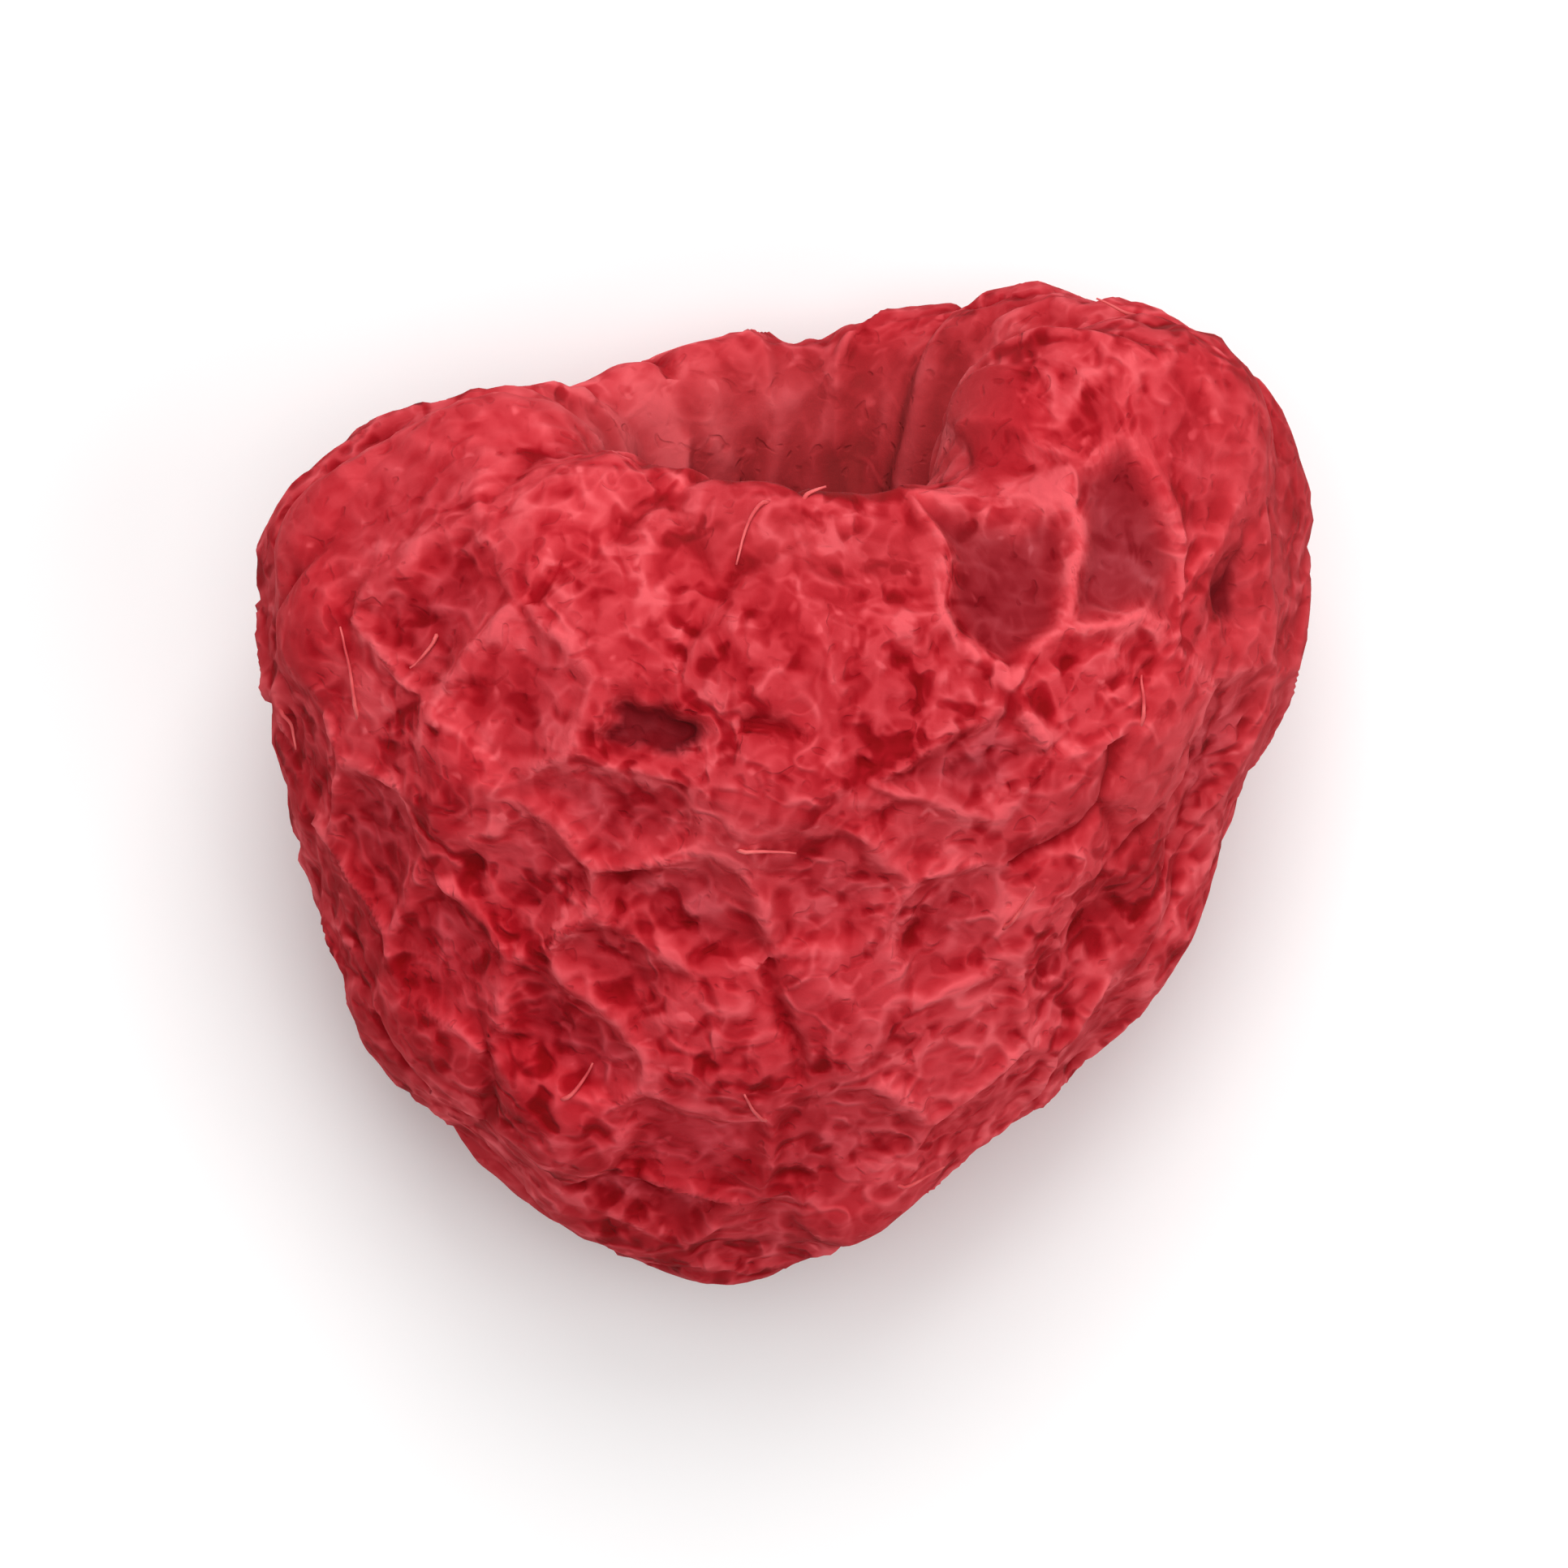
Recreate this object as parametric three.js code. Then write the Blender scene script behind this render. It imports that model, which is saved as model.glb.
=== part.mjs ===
// A whole freeze-dried raspberry, lying on its side as it comes out of the bag.
//
// The fruit is one piece: a thick-walled cup of drupelets that grew together round a
// receptacle, which stayed on the plant when the berry was picked. Freeze-drying left its
// form almost untouched, a little squashed, with every drupelet's skin drawn tight or
// fallen in, so that the seams between drupelets stand out as a net.
//
// Millimetres. The berry is shaped in its own frame, with the tip at the origin, the mouth
// of the hollow towards +Z and the side that it lies on towards +Y. It is then laid down:
// in the part's frame +Z is up, the mouth looks along +Y and a little upwards, and the
// origin is at the middle of the bounding box, on the surface that the berry lies on.

import * as THREE from "three";
import { ConvexHull } from "three/addons/math/ConvexHull.js";
import { mergeVertices } from "three/addons/utils/BufferGeometryUtils.js";

const { degToRad, lerp, smoothstep } = THREE.MathUtils;

// Driving dimensions

const HALF_WIDTH = 11.0; // across the berry, from its axis to the widest part of its side
const HALF_THICKNESS = 8.2; // the same, squashed, from the side that it lies on to the top
const TILT = degToRad(18); // of the axis above the surface, with the mouth end up
const DRUPELETS = 176; // patches of the whole skin: the drupelets' outsides and their backs
const PRESSED = 0.75; // how far the side that it lies on is flattened

// The wall's outline from the tip over the lip to the bottom of the hollow, each point as
// its share of the half width and its height above the tip.
const OUTLINE = [
  [0, 0],
  [0.19, 0.55],
  [0.34, 1.6],
  [0.46, 2.75],
  [0.615, 4.2],
  [0.745, 6.0],
  [0.83, 8.0],
  [0.885, 10.2],
  [0.94, 12.6],
  [0.985, 15.0],
  [0.985, 17.2],
  [0.93, 19.2],
  [0.83, 20.5],
  [0.7, 21.1],
  [0.55, 20.8],
  [0.43, 19.5],
  [0.365, 17.2],
  [0.34, 14.4],
  [0.31, 11.6],
  [0.24, 9.5],
  [0.13, 8.3],
  [0, 8.0],
];
const LENGTH = Math.max(...OUTLINE.map(([, height]) => height));

// The axis leans across the berry, and the hollow sits to the right of it and is less
// squashed than the outside. The lip rises to the right, and stands lower at the top and
// underside.
const LEAN_AT_TIP = -0.05;
const LEAN_AT_LIP = 0.9;
const HOLLOW_ASIDE = 0.5;
const HOLLOW_THICKNESS = 10.4; // the half thickness that the hollow's shares go by
const LIP_SLANT = 0.1; // rise of the lip for each millimetre to the right
const LIP_SAG = 2.6; // how much lower it would be at the full half thickness

// Places on the skin are given by degrees round the axis, from the right side, with the
// side that it lies on at 90 and the top at 270, and by the share of the skin's area between
// the place and the tip: the lip's crest is at 0.776 and all above that is the hollow.

// Broad swellings and hollows of the wall: how far they reach, in degrees as seen from the
// middle of a round berry, and how high they stand, in millimetres.
const SWELLINGS = [
  { name: "right lobe", around: -4, share: 0.475, reach: 20, height: 1.1 },
  { name: "shoulder over the right lobe", around: 12, share: 0.755, reach: 10, height: -0.8 },
  { name: "side under the right lobe", around: 350, share: 0.22, reach: 9, height: 0.4 },
  { name: "crease under the right lobe", around: 325, share: 0.295, reach: 5, height: -0.4 },
  { name: "end of that crease", around: 337, share: 0.337, reach: 5, height: -0.5 },
  { name: "bump on the lip's far side", around: 38, share: 0.785, reach: 12, height: 0.3 },
  { name: "inner side of the right lobe", around: 338, share: 0.822, reach: 14, height: 1.3 },
  { name: "lip between the lobes, far side", around: 130, share: 0.78, reach: 9, height: -0.3 },
  { name: "side under the left lobe", around: 187, share: 0.36, reach: 8, height: -0.45 },
  { name: "flank of the left lobe", around: 180, share: 0.64, reach: 14, height: -0.35 },
  { name: "far side of the left lobe", around: 165, share: 0.79, reach: 9, height: -0.6 },
  { name: "dip on top of the left lobe", around: 184, share: 0.79, reach: 8, height: -0.6 },
  { name: "fold inside the left lobe", around: 190, share: 0.845, reach: 17, height: 0.4 },
  { name: "right side of the tip", around: 303, share: 0.05, reach: 8, height: 0.5 },
  { name: "left side of the tip", around: 222, share: 0.055, reach: 8, height: 0.3 },
];

// Dips along the lip, and how many degrees of it they take.
const LIP_DIPS = [
  { name: "saddle beside the left lobe", around: 140, reach: 24, depth: 1.1 },
  { name: "lowest stretch of the upper side", around: 298, reach: 34, depth: 2.0 },
  { name: "notch to the left of that", around: 254, reach: 15, depth: 0.35 },
];

// Drupelets that stand out on this berry, and how high their middles rise over their seams.
const MARKED = [
  { name: "broken open, near the middle", around: 257, share: 0.59, rise: -0.85 },
  { name: "broken open, at the right edge", around: 338, share: 0.564, rise: -0.7 },
  { name: "fallen in, under the lip", around: 303, share: 0.745, rise: -0.45 },
  { name: "fallen in, beside that one", around: 319, share: 0.69, rise: -0.5 },
  { name: "fallen in, further down", around: 295, share: 0.555, rise: -0.45 },
  { name: "dished, with straight sides", around: 282, share: 0.395, rise: -0.28 },
  { name: "dished, beside that one", around: 260, share: 0.355, rise: -0.4 },
  { name: "dished and wrinkled", around: 242, share: 0.375, rise: -0.35 },
  { name: "dished, with rings", around: 243, share: 0.585, rise: -0.3 },
  { name: "dished and round", around: 246, share: 0.23, rise: -0.5 },
  { name: "ring near the tip", around: 262, share: 0.115, rise: -0.4 },
  { name: "round back inside the mouth", around: 47, share: 0.855, rise: 0.55 },
];

// Random numbers, the same on every run
function makeRandom(seed) {
  const modulus = 2147483647;
  const multiplier = 16807;
  let state = seed;
  return () => {
    state = (state * multiplier) % modulus;
    return state / modulus;
  };
}

// The smooth berry: the skin under the drupelets' relief
const OUTLINE_STEPS = 400;
const outline = new THREE.SplineCurve(
  OUTLINE.map(([share, height]) => new THREE.Vector2(share, height)),
).getPoints(OUTLINE_STEPS);

// The skin's area from the tip to each step of the outline, as a share of the whole. A unit
// sphere's area grows evenly with its height, so the two shares match a point of the sphere
// with a point of the outline, and equal patches of one are equal patches of the other.
const areaShares = [0];
for (let i = 1; i <= OUTLINE_STEPS; i++) {
  const [a, b] = [outline[i - 1], outline[i]];
  const slant = Math.hypot((b.x - a.x) * HALF_WIDTH, b.y - a.y);
  areaShares.push(areaShares[i - 1] + (a.x + b.x) * slant);
}
areaShares.forEach((area, i) => (areaShares[i] = area / areaShares[OUTLINE_STEPS]));

function outlineAt(share) {
  let low = 0;
  let high = OUTLINE_STEPS;
  while (high - low > 1) {
    const middle = (low + high) >> 1;
    if (areaShares[middle] <= share) low = middle;
    else high = middle;
  }
  const within = (share - areaShares[low]) / (areaShares[high] - areaShares[low]);
  return outline[low].clone().lerp(outline[high], within);
}

function directionTo(around, share) {
  const z = 2 * share - 1;
  const out = Math.sqrt(1 - z * z);
  const angle = degToRad(around);
  return new THREE.Vector3(out * Math.cos(angle), out * Math.sin(angle), z);
}

function reachOf(degrees) {
  return 1 - Math.cos(degToRad(degrees));
}

// How much the lip stands higher than its mean, for a place given by its shares of the half
// width and the half thickness.
function lipRise(x, y) {
  const out = Math.hypot(x, y) || 1;
  let rise = LIP_SLANT * x * HALF_WIDTH - LIP_SAG * y * y;
  for (const { around, reach, depth } of LIP_DIPS) {
    const angle = degToRad(around);
    const away = 1 - (x * Math.cos(angle) + y * Math.sin(angle)) / out;
    rise -= 2 * depth * out * out * Math.exp(-away / reachOf(reach));
  }
  return rise;
}

// The point of the smooth skin that a point of the unit sphere stands for.
function plainSkin(direction) {
  const area = (1 + direction.z) / 2;
  const { x: share, y: height } = outlineAt(area);
  const out = Math.hypot(direction.x, direction.y) || 1;
  const x = (share * direction.x) / out;
  const y = (share * direction.y) / out;
  const up = height / LENGTH;
  const lean = lerp(LEAN_AT_TIP, LEAN_AT_LIP, up) + HOLLOW_ASIDE * smoothstep(area, 0.6, 0.75);
  const thickness = lerp(HALF_THICKNESS, HOLLOW_THICKNESS, smoothstep(area, 0.775, 0.9));
  const lip = lipRise(x, y) * up ** 3;
  return new THREE.Vector3(x * HALF_WIDTH + lean, y * thickness, height + lip);
}

const PROBE = 2e-3;
function outwards(surface, direction) {
  const east = new THREE.Vector3(-direction.y, direction.x, 0);
  if (east.lengthSq() < 1e-8) east.set(1, 0, 0);
  east.normalize();
  const north = new THREE.Vector3().crossVectors(direction, east);
  const across = (side) =>
    surface(direction.clone().addScaledVector(side, PROBE).normalize()).sub(
      surface(direction.clone().addScaledVector(side, -PROBE).normalize()),
    );
  return across(east).cross(across(north)).normalize();
}

const swellings = SWELLINGS.map(({ around, share, reach, height }) => ({
  middle: directionTo(around, share),
  reach: reachOf(reach),
  height,
}));

function skin(direction) {
  let height = 0;
  for (const swelling of swellings) {
    const away = 1 - direction.dot(swelling.middle);
    height += swelling.height * Math.exp(-away / swelling.reach);
  }
  return plainSkin(direction).addScaledVector(outwards(plainSkin, direction), height);
}

// The drupelets: points spread over the sphere as they sit on a berry, in a close spiral,
// each a little off its place

const GOLDEN_ANGLE = 180 * (3 - Math.sqrt(5));
const JITTER = 0.12; // how far each is off its place, as a share of the sphere's radius
const FALLEN_SHARE = 0.55; // of the drupelets that have fallen in
const FALLEN = [-0.42, -0.15]; // how high the middles of those stand over their seams
const FULL = [0.14, 0.4]; // and the middles of those that are still full
const random = makeRandom(20231);

const drupelets = [];
for (let i = 0; i < DRUPELETS; i++) {
  const middle = directionTo(i * GOLDEN_ANGLE, (i + 0.5) / DRUPELETS);
  middle.x += JITTER * (2 * random() - 1);
  middle.y += JITTER * (2 * random() - 1);
  middle.z += JITTER * (2 * random() - 1);
  middle.normalize();
  const range = random() < FALLEN_SHARE ? FALLEN : FULL;
  drupelets.push({ middle, rise: lerp(...range, random()), marked: false, corners: [] });
}
for (const { around, share, rise } of MARKED) {
  const place = directionTo(around, share);
  const nearness = drupelets.map(({ middle }) => middle.dot(place));
  const nearest = drupelets[nearness.indexOf(Math.max(...nearness))];
  nearest.middle.copy(place);
  nearest.rise = rise;
  nearest.marked = true;
}

// Drupelets that came too close push each other apart.
const SPACING = Math.sqrt((4 * Math.PI) / DRUPELETS);
const ROOM = 1.3 * SPACING;
const PUSH = 0.2;
const PUSHES = 6;
for (let round = 0; round < PUSHES; round++) {
  const pushes = drupelets.map(({ middle, marked }) => {
    const push = new THREE.Vector3();
    for (const other of drupelets) {
      const apart = middle.clone().sub(other.middle);
      const distance = apart.length();
      if (marked || distance === 0 || distance > ROOM) continue;
      push.addScaledVector(apart, (PUSH * (ROOM - distance)) / distance);
    }
    return push;
  });
  drupelets.forEach(({ middle }, i) => middle.add(pushes[i]).normalize());
}

// The backs of the drupelets, inside the hollow, lie flatter than their outsides.
const BACKS = 0.5;
for (const drupelet of drupelets) {
  const share = (1 + drupelet.middle.z) / 2;
  drupelet.rise *= lerp(1, BACKS, smoothstep(share, 0.8, 0.9));
}

// A drupelet's seams run half-way to its neighbours. The hull of the points joins each three
// neighbours in a face, and the face's normal is the corner where their seams meet.
const hull = new ConvexHull().setFromPoints(drupelets.map(({ middle }) => middle));
const drupeletAt = new Map(drupelets.map((drupelet) => [drupelet.middle, drupelet]));
for (const face of hull.faces) {
  let edge = face.edge;
  do {
    drupeletAt.get(edge.head().point).corners.push(face.normal);
    edge = edge.next;
  } while (edge !== face.edge);
}
for (const { middle, corners } of drupelets) {
  const east = new THREE.Vector3(-middle.y, middle.x, 0).normalize();
  const north = new THREE.Vector3().crossVectors(middle, east);
  const bearing = (corner) => Math.atan2(corner.dot(north), corner.dot(east));
  corners.sort((a, b) => bearing(a) - bearing(b));
}

// The relief: inside its seams a full drupelet swells and a fallen one dishes. In one that
// has broken open the skin holds around the hole, so the fall is nearer its middle.

const BROKEN_OPEN = -0.6; // a middle that lies lower than this
const RINGS = [
  { towards: 1, lift: 0, liftRoundHole: 0 }, // on the seam
  { towards: 0.84, lift: 0.55, liftRoundHole: 0.05 },
  { towards: 0.5, lift: 0.95, liftRoundHole: 0.7 },
];
const SEAM_STEPS = 2; // pieces of each side of a drupelet

const triangles = [];
function addTriangle(a, b, c) {
  for (const { x, y, z } of [a, b, c]) triangles.push(x, y, z);
}

function raised(direction, height) {
  return skin(direction).addScaledVector(outwards(skin, direction), height);
}

function addDrupelet({ middle, rise, corners }) {
  const seam = [];
  corners.forEach((corner, i) => {
    const next = corners[(i + 1) % corners.length];
    for (let step = 0; step < SEAM_STEPS; step++) {
      seam.push(corner.clone().lerp(next, step / SEAM_STEPS).normalize());
    }
  });
  const rings = RINGS.map(({ towards, lift, liftRoundHole }) => {
    const height = rise * (rise < BROKEN_OPEN ? liftRoundHole : lift);
    return seam.map((point) =>
      raised(middle.clone().lerp(point, towards).normalize(), height),
    );
  });
  const top = raised(middle, rise);
  const count = seam.length;
  for (let i = 0; i < count; i++) {
    const j = (i + 1) % count;
    for (let ring = 0; ring + 1 < rings.length; ring++) {
      const [outer, inner] = [rings[ring], rings[ring + 1]];
      addTriangle(outer[i], outer[j], inner[j]);
      addTriangle(outer[i], inner[j], inner[i]);
    }
    const last = rings[rings.length - 1];
    addTriangle(last[i], last[j], top);
  }
}
drupelets.forEach(addDrupelet);

// The berry as one closed mesh, laid on its side

const loose = new THREE.BufferGeometry().setAttribute(
  "position",
  new THREE.Float32BufferAttribute(triangles, 3),
);
const berry = mergeVertices(loose, 1e-3).rotateX(TILT - Math.PI / 2);

// The side that it lies on is pressed: what would reach below the surface is flat on it, and
// the skin just above it bends into the flat.
const BEND = 0.5;
berry.computeBoundingBox();
const surface = berry.boundingBox.min.z + PRESSED;
const places = berry.attributes.position;
for (let i = 0; i < places.count; i++) {
  const bend = THREE.MathUtils.clamp((places.getZ(i) - surface) / BEND, 0, 1);
  if (bend < 1) places.setZ(i, surface + BEND * bend * bend * (2 - bend));
}

berry.computeBoundingBox();
const { min, max } = berry.boundingBox;
berry.translate(-(min.x + max.x) / 2, -(min.y + max.y) / 2, -min.z);
berry.computeVertexNormals();

const driedFruit = new THREE.MeshStandardMaterial({
  name: "dried_fruit",
  color: new THREE.Color(0.62, 0.05, 0.08),
  roughness: 0.9,
  metalness: 0,
});

const raspberry = new THREE.Mesh(berry, driedFruit);
raspberry.name = "raspberry";

const part = new THREE.Group();
part.add(raspberry);

export default part;
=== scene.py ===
import math

import bpy
import numpy as np
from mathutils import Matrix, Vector, noise


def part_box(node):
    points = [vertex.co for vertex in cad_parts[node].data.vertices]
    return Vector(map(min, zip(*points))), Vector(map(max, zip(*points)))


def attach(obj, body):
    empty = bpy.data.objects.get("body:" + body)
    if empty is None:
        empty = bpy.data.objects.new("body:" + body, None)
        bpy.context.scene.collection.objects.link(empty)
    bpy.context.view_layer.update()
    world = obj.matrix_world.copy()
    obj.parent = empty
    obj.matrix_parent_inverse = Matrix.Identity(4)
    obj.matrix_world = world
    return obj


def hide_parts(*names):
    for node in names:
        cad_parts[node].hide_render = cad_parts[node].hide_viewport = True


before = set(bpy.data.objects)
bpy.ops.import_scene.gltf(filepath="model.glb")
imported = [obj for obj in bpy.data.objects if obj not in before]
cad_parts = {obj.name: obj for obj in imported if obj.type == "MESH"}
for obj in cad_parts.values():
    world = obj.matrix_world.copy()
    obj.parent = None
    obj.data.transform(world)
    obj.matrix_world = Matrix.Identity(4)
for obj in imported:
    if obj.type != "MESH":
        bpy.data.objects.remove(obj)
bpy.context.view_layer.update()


# The ground and the light.
# The berry lies on a smooth white ground under a wide, soft light from above, a little
# stronger from the side of the hollow's mouth. The camera looks straight down on it.

MM = 0.001
CAMERA_HEIGHT = 320 * MM
FIELD = 34 * MM  # the stretch of ground that the picture takes in
SENSOR = 36.0
NEAREST_SEEN = 10 * MM

berry_low, berry_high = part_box("raspberry")
aim = (berry_low + berry_high) / 2

camera = bpy.data.objects.new("camera", bpy.data.cameras.new("camera"))
camera.data.sensor_width = SENSOR
camera.data.lens = SENSOR * (CAMERA_HEIGHT - aim.z) / FIELD
camera.data.clip_start = NEAREST_SEEN
camera.location = (aim.x, aim.y, CAMERA_HEIGHT)
bpy.context.scene.collection.objects.link(camera)
bpy.context.scene.camera = camera
bpy.context.scene.view_settings.view_transform = "Standard"

GROUND_HALF = 500 * MM
GROUND_WHITE = (0.88, 0.88, 0.88, 1)
ground_mesh = bpy.data.meshes.new("ground")
ground_mesh.from_pydata(
    [
        (-GROUND_HALF, -GROUND_HALF, 0),
        (GROUND_HALF, -GROUND_HALF, 0),
        (GROUND_HALF, GROUND_HALF, 0),
        (-GROUND_HALF, GROUND_HALF, 0),
    ],
    [],
    [(0, 1, 2, 3)],
)
ground = bpy.data.objects.new("ground", ground_mesh)
bpy.context.scene.collection.objects.link(ground)
ground_paint = bpy.data.materials.new("white_ground")
ground_paint.use_nodes = True
ground_shader = ground_paint.node_tree.nodes["Principled BSDF"]
ground_shader.inputs["Base Color"].default_value = GROUND_WHITE
ground_shader.inputs["Roughness"].default_value = 0.9
ground_shader.inputs["Specular IOR Level"].default_value = 0.1
ground_mesh.materials.append(ground_paint)

SKY_STRENGTH = 0.32
sky = bpy.data.worlds.new("studio")
sky.use_nodes = True
sky.node_tree.nodes["Background"].inputs["Color"].default_value = (1, 1, 1, 1)
sky.node_tree.nodes["Background"].inputs["Strength"].default_value = SKY_STRENGTH
bpy.context.scene.world = sky

LAMPS = [  # name, place and width in metres, watts
    ("main_light", (0.02, 0.34, 0.42), 0.36, 1.72),  # on the side of the mouth
    ("fill_light", (0.30, -0.10, 0.36), 0.40, 0.68),  # on the right
    ("top_light", (-0.03, 0.04, 0.60), 0.40, 1.52),
]
for name, place, width, power in LAMPS:
    lamp = bpy.data.lights.new(name, "AREA")
    lamp.shape = "DISK"
    lamp.size = width
    lamp.energy = power
    light = bpy.data.objects.new(name, lamp)
    light.location = place
    light.rotation_euler = (-Vector(place)).to_track_quat("-Z", "Y").to_euler()
    bpy.context.scene.collection.objects.link(light)


# The fruit.
# One freeze-dried raspberry, a thick cup of drupelets that grew together. Ice left it as
# vapour, so the cup kept its size while each drupelet's skin drew tight or fell in, and
# the seams between them stand out as a crumpled net.

# All in millimetres, in the berry's own frame: tip at the origin, mouth towards +Z, lying
# side towards +Y. Places on the skin are given by degrees round the axis, 0 on the right, 90
# on the lying side and 270 on top, and by the share of the skin's area between the place and
# the tip: the lip's crest is at 0.776 and all above that is the hollow.
HALF_WIDTH = 11.0
HALF_THICKNESS = 8.2
HOLLOW_THICKNESS = 10.4
TILT = math.radians(18)
PRESSED = 0.75
BEND = 0.5
OUTLINE = [
    (0, 0), (0.19, 0.55), (0.34, 1.6), (0.46, 2.75), (0.615, 4.2), (0.745, 6.0),
    (0.83, 8.0), (0.885, 10.2), (0.94, 12.6), (0.985, 15.0), (0.985, 17.2),
    (0.93, 19.2), (0.83, 20.5), (0.7, 21.1), (0.55, 20.8), (0.43, 19.5),
    (0.365, 17.2), (0.34, 14.4), (0.31, 11.6), (0.24, 9.5), (0.13, 8.3), (0, 8.0),
]  # half width's share and height, from the tip over the lip into the hollow
LENGTH = max(height for _, height in OUTLINE)
LEAN_AT_TIP = -0.05
LEAN_AT_LIP = 0.9
HOLLOW_ASIDE = 0.5
LIP_SLANT = 0.1
LIP_SAG = 2.6
LIP_DIPS = [  # degrees round the axis, reach, depth
    (140, 24, 1.1),  # saddle beside the left lobe
    (298, 34, 2.0),  # lowest stretch of the upper side
    (254, 15, 0.35),  # notch to the left of that
]
SWELLINGS = [  # degrees round the axis, share of the area, reach in degrees, height
    (-4, 0.475, 20, 1.1),  # right lobe
    (12, 0.755, 10, -0.8),  # shoulder over it
    (350, 0.22, 9, 0.4),  # side under it
    (325, 0.295, 5, -0.4),  # crease under it
    (337, 0.337, 5, -0.5),  # end of that crease
    (38, 0.785, 12, 0.3),  # bump on the lip's far side
    (338, 0.822, 14, 1.3),  # inner side of the right lobe
    (130, 0.78, 9, -0.3),  # lip between the lobes, far side
    (187, 0.36, 8, -0.45),  # side under the left lobe
    (180, 0.64, 14, -0.35),  # flank of the left lobe
    (165, 0.79, 9, -0.6),  # its far side
    (184, 0.79, 8, -0.6),  # dip on top of it
    (190, 0.845, 17, 0.4),  # fold inside it
    (303, 0.05, 8, 0.5),  # right side of the tip
    (222, 0.055, 8, 0.3),  # left side of the tip
]


def smoothstep(x, low, high):
    t = np.clip((x - low) / (high - low), 0, 1)
    return t * t * (3 - 2 * t)


def hump(x, middle, half):
    """1 at the middle, fading to either side over the half width."""
    return np.exp(-(((x - middle) / half) ** 2))


def unit(vectors):
    return vectors / np.linalg.norm(vectors, axis=-1, keepdims=True)


def direction_to(around, share):
    z = 2 * share - 1
    out = math.sqrt(1 - z * z)
    angle = math.radians(around)
    return np.array([out * math.cos(angle), out * math.sin(angle), z])


def reach_of(degrees):
    return 1 - math.cos(math.radians(degrees))


def smooth_outline(steps):
    points = np.array(OUTLINE, float)
    last = len(points) - 1
    at = np.linspace(0, last, steps + 1)
    start = np.minimum(at.astype(int), last - 1)
    t = (at - start)[:, None]
    before = points[np.maximum(start - 1, 0)]
    a, b = points[start], points[start + 1]
    after = points[np.minimum(start + 2, last)]
    into, out_of = (b - before) / 2, (after - a) / 2
    bend = (2 * a - 2 * b + into + out_of) * t**3
    return bend + (-3 * a + 3 * b - 2 * into - out_of) * t**2 + into * t + a


OUTLINE_STEPS = 4000
outline = smooth_outline(OUTLINE_STEPS)
step_slant = np.hypot(np.diff(outline[:, 0]) * HALF_WIDTH, np.diff(outline[:, 1]))
area_share = np.append(0, np.cumsum((outline[:-1, 0] + outline[1:, 0]) * step_slant))
area_share /= area_share[-1]


def plain_skin(directions):
    """The smooth cup: each direction from the middle of a ball has its place on the skin."""
    area = (1 + directions[:, 2]) / 2
    share = np.interp(area, area_share, outline[:, 0])
    height = np.interp(area, area_share, outline[:, 1])
    out = np.maximum(np.hypot(directions[:, 0], directions[:, 1]), 1e-9)
    round_x, round_y = directions[:, 0] / out, directions[:, 1] / out
    x, y = share * round_x, share * round_y
    up = height / LENGTH
    lean = LEAN_AT_TIP + (LEAN_AT_LIP - LEAN_AT_TIP) * up
    lean += HOLLOW_ASIDE * smoothstep(area, 0.6, 0.75)
    in_hollow = smoothstep(area, 0.775, 0.9)
    thickness = HALF_THICKNESS + (HOLLOW_THICKNESS - HALF_THICKNESS) * in_hollow
    lip = LIP_SLANT * x * HALF_WIDTH - LIP_SAG * y * y
    for around, reach, depth in LIP_DIPS:
        angle = math.radians(around)
        away = 1 - (round_x * math.cos(angle) + round_y * math.sin(angle))
        lip -= 2 * depth * share * share * np.exp(-away / reach_of(reach))
    return np.stack([x * HALF_WIDTH + lean, y * thickness, height + lip * up**3], -1)


def outwards(surface, directions, probe=8e-3):
    east = np.stack(
        [-directions[:, 1], directions[:, 0], np.zeros(len(directions))], -1
    )
    east[np.linalg.norm(east, axis=-1) < 1e-4] = (1, 0, 0)
    east = unit(east)
    north = np.cross(directions, east)

    def across(side):
        ahead = surface(unit(directions + side * probe))
        return ahead - surface(unit(directions - side * probe))

    return unit(np.cross(across(east), across(north)))


def skin(directions):
    """The cup with its swellings and dips."""
    height = np.zeros(len(directions))
    for around, share, reach, swell in SWELLINGS:
        away = 1 - directions @ direction_to(around, share)
        height += swell * np.exp(-away / reach_of(reach))
    return plain_skin(directions) + outwards(plain_skin, directions) * height[:, None]


# The drupelets sit in a close spiral, each a little off its place. Some are full and some
# have fallen in; the ones that stand out on this berry are marked.
DRUPELETS = 176
GOLDEN_ANGLE = 180 * (3 - math.sqrt(5))
JITTER = 0.12
FALLEN_SHARE = 0.55
FALLEN = (-0.42, -0.15)
FULL = (0.14, 0.4)
TORN_BELOW = -0.6
MARKED = [  # degrees round the axis, share of the area, rise of the middle over the seams
    (257, 0.59, -0.85),  # broken open, near the middle
    (338, 0.564, -0.7),  # broken open, at the right edge
    (303, 0.745, -0.45),  # fallen in, under the lip
    (319, 0.69, -0.5),  # fallen in, beside that one
    (295, 0.555, -0.45),  # fallen in, further down
    (282, 0.395, -0.28),  # dished, with straight sides
    (260, 0.355, -0.4),  # dished, beside that one
    (242, 0.375, -0.35),  # dished and wrinkled
    (243, 0.585, -0.3),  # dished, with rings
    (246, 0.23, -0.5),  # dished and round
    (262, 0.115, -0.4),  # ring near the tip
    (47, 0.855, 0.55),  # round back inside the mouth
]
DUSKY = [(303, 0.745), (319, 0.69)]  # the marked ones whose skin has greyed
ROOM = 1.3 * math.sqrt(4 * math.pi / DRUPELETS)
PUSH = 0.2
PUSHES = 6
BACKS = 0.5  # the drupelets' backs, inside the hollow, rise less


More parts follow.
